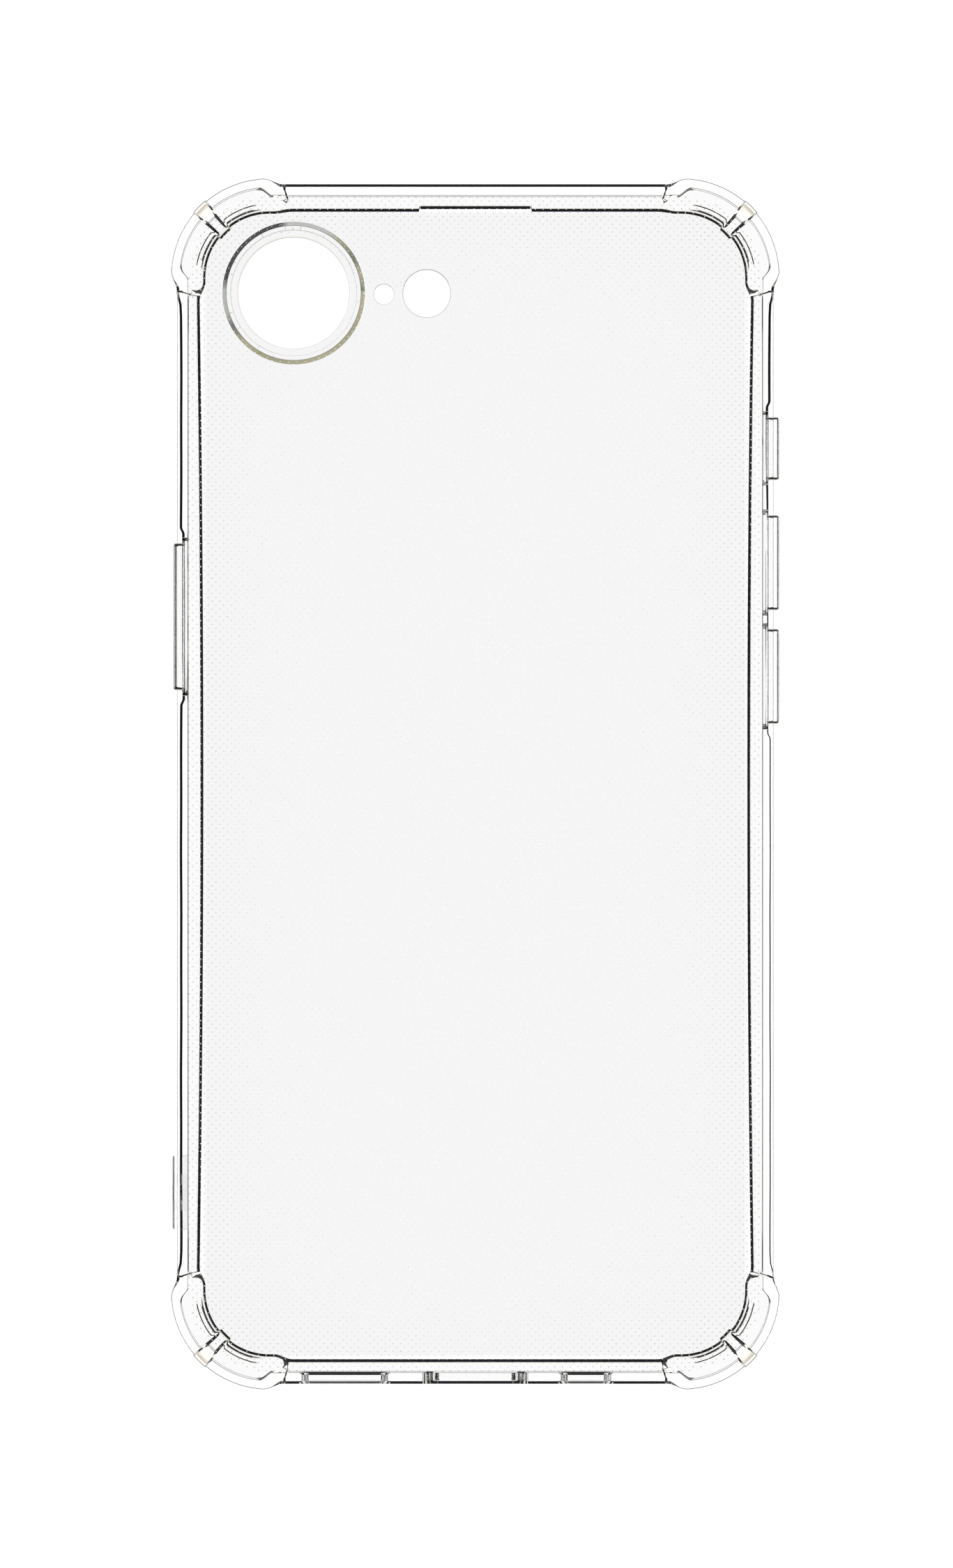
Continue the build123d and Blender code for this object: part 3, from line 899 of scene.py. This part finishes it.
@dataclass
class MicroDots:
    """Moulded micro-dots that keep the clear back from sticking to the phone, in staggered rows."""

    sizes: CaseSizes
    holes: list[RoundHole]
    finish: bpy.types.Material
    pitch: float = 0.96
    row_gap: float = 0.48
    radius: float = 0.09
    depth: float = 0.045
    gap: float = 0.012
    border: float = 0.2
    corner_radius: float = 10.15

    def centres(self) -> np.ndarray:
        """Places the dots over the inside of the back, clear of its holes and rounded corners."""
        half_width, half_length = self.sizes.half_sizes
        rows = np.arange(self.border + 0.1 - half_length, half_length - self.border, self.row_gap)
        columns = np.arange(self.border - half_width, half_width, self.pitch)
        x, y = np.meshgrid(columns, rows)
        x = x + (np.arange(len(rows)) % 2)[:, None] * self.pitch / 2
        spots = np.column_stack([x.ravel(), y.ravel()])
        over = np.abs(spots) - self.sizes.half_sizes + self.corner_radius
        limit = self.corner_radius - self.border
        outside = (np.hypot(*np.clip(over, 0, None).T) > limit) | np.any(over > limit, axis=1)
        for hole in self.holes:
            from_hole = np.hypot(spots[:, 0] - hole.x, spots[:, 1] - hole.y)
            outside |= from_hole < hole.rim[0][0] + self.border
        return spots[~outside]

    def build(self) -> bpy.types.Object:
        """Builds every dot as a low five-sided point under the back's inner face."""
        spots = self.centres()
        angle = np.linspace(0, 2 * np.pi, 5, endpoint=False)
        ring = np.column_stack([self.radius * np.cos(angle), self.radius * np.sin(angle), np.zeros(5)])
        tip = np.array([[0.0, 0.0, -self.depth]])
        shape = np.concatenate([ring, tip])
        base = np.column_stack([spots, np.full(len(spots), self.sizes.plate_inner - self.gap)])
        points = (base[:, None, :] + shape[None]).reshape(-1, 3)
        sides = [[(i + 1) % 5, i, 5] for i in range(5)]
        roof = [[0, 1, 2], [0, 2, 3], [0, 3, 4]]
        one = np.array(sides + roof)
        faces = (np.arange(len(spots))[:, None, None] * 6 + one[None]).reshape(-1, 3)
        mesh = bpy.data.meshes.new("micro_dots")
        mesh.from_pydata((points * MM).tolist(), [], faces.tolist())
        mesh.materials.append(self.finish)
        piece = bpy.data.objects.new("micro_dots", mesh)
        bpy.context.scene.collection.objects.link(piece)
        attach(piece, "case")
        log.info("micro_dots: %d dots", len(spots))
        return piece


@dataclass
class ButtonCover:
    """A raised button cover and the thin web that carries it, for one of the frame's buttons."""

    node: str
    side: Side
    finish: bpy.types.Material
    edge_radius: float = 0.3
    corner_radius: float = 0.5
    window_radius: float = 0.73
    window_margin: float = 0.35
    crown: float = 0.06
    web_slope: float = 0.2
    web_thickness: float = 0.22
    gap: float = 0.03

    def __post_init__(self) -> None:
        """Reads the cover's and the web's places from the frame."""
        low, high = (np.array(v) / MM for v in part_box(self.node))
        web_low, web_high = (np.array(v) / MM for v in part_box(self.node + "_web"))
        sign = self.side.value[0]
        self.inner_face = min(abs(low[0]), abs(high[0]))
        self.outer_face = max(abs(low[0]), abs(high[0]))
        self.centre = np.array([(low[1] + high[1]) / 2, (low[2] + high[2]) / 2])
        self.half = np.array([(high[1] - low[1]) / 2, (high[2] - low[2]) / 2])
        self.web_half = np.array([(web_high[1] - web_low[1]) / 2, (web_high[2] - web_low[2]) / 2])
        self.sign = sign

    def window(self) -> Window:
        """The opening that the web fills."""
        along = self.centre[0] * self.side.along[1]
        length, height = self.web_half
        return Window(self.side, along, length, height, self.window_radius, self.window_margin, key=True)

    def outline(self, half: np.ndarray, radius: float, count: int = 96) -> np.ndarray:
        """A rounded rectangle: the core's nearest point to each direction, set out by the corner radius.

        Args:
            half: Half sizes.
            radius: Corner radius.
            count: Points on each corner's arc, four times over.

        Returns:
            Points in order round the outline.
        """
        angle = np.linspace(0, 2 * np.pi, count, endpoint=False) + np.pi / count
        direction = np.column_stack([np.cos(angle), np.sin(angle)])
        return np.sign(direction) * (half - radius) + radius * direction

    def place(self, plane: np.ndarray, out: np.ndarray) -> np.ndarray:
        """Carries points of the wall's plane, each with its distance outwards, into the case's frame."""
        x = np.broadcast_to(out, plane.shape[:-1]) * self.sign
        return np.stack([x, self.centre[0] + plane[..., 0], self.centre[1] + plane[..., 1]], axis=-1)

    def build_cover(self) -> bpy.types.Object:
        """Builds the cover: rounded outlines from its back to its rounded edge and faintly crowned face."""
        half = self.half - self.gap
        rows, out = [], []
        for share in (0.3, 0.7, 1.0):
            rows.append(self.outline(half, self.corner_radius) * share)
            out.append(self.inner_face)
        for height in (0.25, 0.5, 0.75):
            rows.append(self.outline(half, self.corner_radius))
            out.append(self.inner_face + height * (self.outer_face - self.edge_radius - self.inner_face))
        for below, inset in self.edge_radius * np.array(round_edge(np.linspace(0, 90, 8))):
            rows.append(self.outline(half - inset, max(self.corner_radius - inset, 0.2)))
            out.append(self.outer_face - self.crown - below)
        face = self.outline(half - self.edge_radius, self.corner_radius - self.edge_radius)
        for share in (0.85, 0.6, 0.3):
            rows.append(face * share)
            out.append(self.outer_face - self.crown * share**2)
        grid = self.place(np.stack(rows), np.array(out)[:, None])
        poles = self.place(np.zeros((2, 2)), np.array([self.inner_face, self.outer_face]))
        points = np.concatenate([grid.reshape(-1, 3), poles])
        first, last = len(points) - 2, len(points) - 1
        inner_ring = np.arange(grid.shape[1])
        outer_ring = inner_ring + first - grid.shape[1]
        caps = [[first, b, a] for a, b in zip(inner_ring, np.roll(inner_ring, -1))]
        caps += [[last, a, b] for a, b in zip(outer_ring, np.roll(outer_ring, -1))]
        piece = put_mesh(self.node + "_cover", points, tube(grid, closed=False) + caps, self.finish)
        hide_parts(self.node)
        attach(piece, self.node)
        return piece

    def build_web(self) -> bpy.types.Object:
        """Builds the web: a thin closed skin that slopes from the window's edge up to the cover's side."""
        outer = self.outline(self.web_half - self.gap, self.window_radius - self.gap)
        inner = self.outline(self.half + self.gap, self.corner_radius)
        shares = np.linspace(0, 1, 7)
        rows = [outer + (inner - outer) * s for s in shares]
        rise = self.inner_face + self.web_slope * smooth(shares, 0.1, 0.9)
        out = np.concatenate([rise + self.web_thickness, rise[::-1]])
        grid = self.place(np.stack(rows + rows[::-1]), out[:, None])
        piece = put_mesh(self.node + "_skin", grid.reshape(-1, 3), tube(grid, closed=True), self.finish)
        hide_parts(self.node + "_web")
        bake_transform(piece)
        return piece


@dataclass
class LightTable:
    """A plain white table with soft light from below and a dim studio above it."""

    reach: float = 3.0
    table_drop: float = 0.0003
    camera_height: float = 3.0
    seen_length: float = 0.19598
    camera_x: float = 0.00015

    def build(self) -> None:
        """Builds the table, the surroundings, the lamps and the camera."""
        self.table()
        self.surroundings()
        self.lamps()
        self.camera()

    def table(self) -> None:
        """Lays the plain pale table under the case."""
        mesh = bpy.data.meshes.new("table_top")
        r = self.reach
        corners = [(x, y, -self.table_drop) for x, y in ((-r, -r), (r, -r), (r, r), (-r, r))]
        mesh.from_pydata(corners, [], [(0, 1, 2, 3)])
        material = bpy.data.materials.new("table_white")
        graph = Graph(material)
        place = graph.add("TexCoord").outputs["Object"]
        grain = graph.add("TexNoise", Vector=place, Scale=40.0, Detail=3.0)
        colour = graph.ramp(grain.outputs["Fac"], [(0.2, (0.99, 0.99, 0.99)), (0.8, (1.0, 1.0, 1.0))])
        glow = graph.add("Emission", Color=colour, Strength=1.02)
        graph.add("OutputMaterial", Surface=glow.outputs["Emission"])
        mesh.materials.append(material)
        top = bpy.data.objects.new("table_top", mesh)
        bpy.context.scene.collection.objects.link(top)
        top.visible_transmission = False
        top.visible_glossy = False
        top.visible_diffuse = False
        top.visible_shadow = False

    def surroundings(self) -> None:
        """Lights the case from straight below, with dark boards round that light and a pale room beyond."""
        world = bpy.data.worlds.new("studio")
        bpy.context.scene.world = world
        graph = Graph(world)
        direction = graph.add("TexCoord").outputs["Generated"]
        split = graph.add("SeparateXYZ", Vector=direction)
        level = graph.add("MapRange", Value=split.outputs["Z"], From_Min=-1.0, From_Max=1.0)
        white, cream = (1.13, 1.13, 1.13), (1.1, 1.04, 0.9)
        dark, pale = (0.006, 0.006, 0.01), (0.86, 0.86, 0.86)
        by_angle = [
            (0.0, white),
            (10.0, white),
            (12.5, cream),
            (15.0, dark),
            (39.0, dark),
            (45.0, pale),
            (83.0, pale),
            (87.5, (0.03, 0.03, 0.03)),
            (143.13, (0.06, 0.06, 0.06)),
            (165.93, (0.04, 0.04, 0.04)),
        ]
        stops = [(self.share(angle), colour) for angle, colour in by_angle]
        around_table = graph.ramp(level.outputs["Result"], stops)
        bearing = graph.add("Math", operation="ARCTAN2")
        graph.tree.links.new(split.outputs["Y"], bearing.inputs[0])
        graph.tree.links.new(split.outputs["X"], bearing.inputs[1])
        turn = graph.add("MapRange", Value=bearing.outputs["Value"], From_Min=-math.pi, From_Max=math.pi)
        cards = graph.ramp(turn.outputs["Result"], self.cards())
        edges = [(37.5, 0.0), (39.5, 1.0), (43.5, 1.0), (45.0, 0.0)]
        band = graph.ramp(level.outputs["Result"], [(self.share(a), (v, v, v)) for a, v in edges])
        both = graph.add("Mix", data_type="RGBA")
        graph.tree.links.new(band, both.inputs[0])
        graph.tree.links.new(around_table, both.inputs[6])
        graph.tree.links.new(cards, both.inputs[7])
        colour = both.outputs[2]
        rays = graph.add("LightPath")
        plain = graph.add("Math", operation="MAXIMUM")
        graph.tree.links.new(rays.outputs["Is Camera Ray"], plain.inputs[0])
        graph.tree.links.new(rays.outputs["Is Diffuse Ray"], plain.inputs[1])
        around = graph.add("Background", Color=colour, Strength=1.0)
        backdrop = graph.add("Background", Color=(1.0, 1.0, 1.0, 1.0), Strength=1.74)
        mixed = graph.add("MixShader", Fac=plain.outputs["Value"])
        graph.tree.links.new(around.outputs["Background"], mixed.inputs[1])
        graph.tree.links.new(backdrop.outputs["Background"], mixed.inputs[2])
        graph.add("OutputWorld", Surface=mixed.outputs["Shader"])
        bpy.context.scene.view_settings.view_transform = "Standard"

    @staticmethod
    def cards() -> list[tuple[float, tuple[float, float, float]]]:
        """The sand, olive, grey and black cards that stand round the table, by share of a full turn."""
        sand, olive, moss = (0.5, 0.47, 0.31), (0.4, 0.38, 0.24), (0.16, 0.21, 0.14)
        grey, black, mist = (0.6, 0.6, 0.58), (0.01, 0.01, 0.012), (0.5, 0.53, 0.48)
        return [
            (0.0, moss),
            (0.04, sand),
            (0.083, moss),
            (0.125, olive),
            (0.17, grey),
            (0.26, grey),
            (0.28, black),
            (0.47, black),
            (0.5, mist),
            (0.55, mist),
            (0.585, (0.14, 0.14, 0.14)),
            (0.63, sand),
            (0.7, olive),
            (0.82, sand),
            (0.9, olive),
            (0.96, sand),
        ]

    @staticmethod
    def share(angle: float) -> float:
        """The ramp's place for a direction this many degrees from straight down."""
        return (1.0 - math.cos(math.radians(angle))) / 2

    def lamps(self) -> None:
        """Hangs two soft strip lamps that draw thin highlights along the edges."""
        for number, x in enumerate((-0.6, 0.6)):
            lamp = bpy.data.lights.new(f"strip_lamp_{number}", "AREA")
            lamp.shape = "RECTANGLE"
            lamp.size, lamp.size_y = 0.15, 0.8
            lamp.energy = 2.0
            holder = bpy.data.objects.new(lamp.name, lamp)
            holder.location = (x, 0.0, 0.7)
            holder.rotation_euler = (0.0, math.atan2(x, 0.7), 0.0)
            bpy.context.scene.collection.objects.link(holder)

    def camera(self) -> None:
        """Sets the camera straight above the back, with the camera end of the case at the top."""
        camera = bpy.data.cameras.new("camera")
        camera.sensor_fit = "VERTICAL"
        camera.sensor_height = 36.0
        camera.lens = 36.0 * self.camera_height / self.seen_length
        camera.clip_start = 0.01
        holder = bpy.data.objects.new("camera", camera)
        holder.location = (self.camera_x, 0.0, self.camera_height + 0.005)
        bpy.context.scene.collection.objects.link(holder)
        bpy.context.scene.camera = holder


def back_holes(sizes: CaseSizes) -> list[RoundHole]:
    """Places the camera, microphone and flash holes, with the guard ring round the first.

    Args:
        sizes: The moulding's sizes.

    Returns:
        The three holes, each with its rim's profile.
    """
    low, high = (np.array(v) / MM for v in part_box("camera_guard_ring"))
    x, y = (low[:2] + high[:2]) / 2
    foot = (high[0] - low[0]) / 2
    inner, back, crest = sizes.plate_inner, sizes.back, high[2]
    hole = foot - 1.95
    ring_inner = foot - 1.05
    camera = (
        (hole + 0.5, inner),
        (hole + 0.08, inner),
        (hole + 0.02, inner + 0.02),
        (hole, inner + 0.08),
        (hole, back - 0.1),
        (hole + 0.02, back - 0.05),
        (hole + 0.07, back - 0.03),
        (hole + 0.14, back - 0.03),
        (hole + 0.18, back - 0.01),
        (hole + 0.22, back),
        (ring_inner - 0.08, back),
        (ring_inner - 0.02, back + 0.02),
        (ring_inner, back + 0.08),
        (ring_inner + 0.02, crest - 0.08),
        (ring_inner + 0.04, crest - 0.02),
        (ring_inner + 0.1, crest),
        (foot - 0.55, crest),
        (foot - 0.52, crest - 0.01),
        (foot - 0.5, crest - 0.04),
        (foot - 0.46, crest - 0.115),
        (foot - 0.08, back + 0.17),
        (foot - 0.03, back + 0.08),
        (foot, back + 0.02),
        (foot + 0.06, back),
        (foot + 0.4, back),
    )

    def plain(radius: float, draft: float) -> tuple[tuple[float, float], ...]:
        """The rim of a plain hole, opening by the draft towards the outer face."""
        return (
            (radius + 0.4, inner),
            (radius + 0.08, inner),
            (radius, inner + 0.08),
            (radius + draft / 2, back - 0.14),
            (radius + draft / 2 + 0.04, back - 0.04),
            (radius + draft / 2 + 0.14, back),
            (radius + 0.5 + draft, back),
        )

    microphone_x = x + foot + 1.1 + 1.25
    return [
        RoundHole(x, y, camera),
        RoundHole(microphone_x, y - 0.15, plain(1.25, 0.05)),
        RoundHole(microphone_x + 1.25 + 1.15 + 2.95, y - 0.05, plain(2.95, 0.1)),
    ]


def bottom_openings() -> list[Window]:
    """Places the charging port, speaker and microphone openings of the bottom wall."""
    return [
        Window(Side.BOTTOM, 0.0, 6.6, 3.15, 2.4, 0.05),
        Window(Side.BOTTOM, -16.3, 5.4, 1.6, 1.0, flare=0.3),
        Window(Side.BOTTOM, 13.8, 3.15, 1.6, 1.0, flare=0.3),
    ]


def lanyard_opening() -> Window:
    """The opening that the lanyard bridge fills."""
    low, high = (np.array(v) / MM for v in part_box("lanyard_bridge"))
    centre = (low[1] + high[1]) / 2
    return Window(Side.LEFT, -centre, (high[1] - low[1]) / 2 + 0.03, (high[2] - low[2]) / 2 + 0.03, 0.06)


def main() -> None:
    """Builds and dresses every piece, then the table, lamps and camera."""
    logging.basicConfig(level=logging.INFO, format="%(message)s")
    clear = ClearPlastic("clear_moulding").make()
    cover_plastic = ClearPlastic("clear_button_plastic", tint=(0.97, 0.975, 0.985), dullest=0.06).make()
    dots = DotPlastic("matt_dots").make()
    sizes = CaseSizes.from_frame()
    covers = [
        ButtonCover("side_button", Side.LEFT, cover_plastic),
        ButtonCover("action_button", Side.RIGHT, cover_plastic),
        ButtonCover("volume_up_button", Side.RIGHT, cover_plastic),
        ButtonCover("volume_down_button", Side.RIGHT, cover_plastic),
    ]
    holes = back_holes(sizes)
    windows = [cover.window() for cover in covers] + bottom_openings() + [lanyard_opening()]
    ClearShell(sizes, windows, holes, clear).build()
    MicroDots(sizes, holes, dots).build()
    for cover in covers:
        cover.build_cover()
        cover.build_web()
    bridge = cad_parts["lanyard_bridge"]
    bridge.data.materials.clear()
    bridge.data.materials.append(clear)
    LightTable().build()


if __name__ == "__main__":
    main()
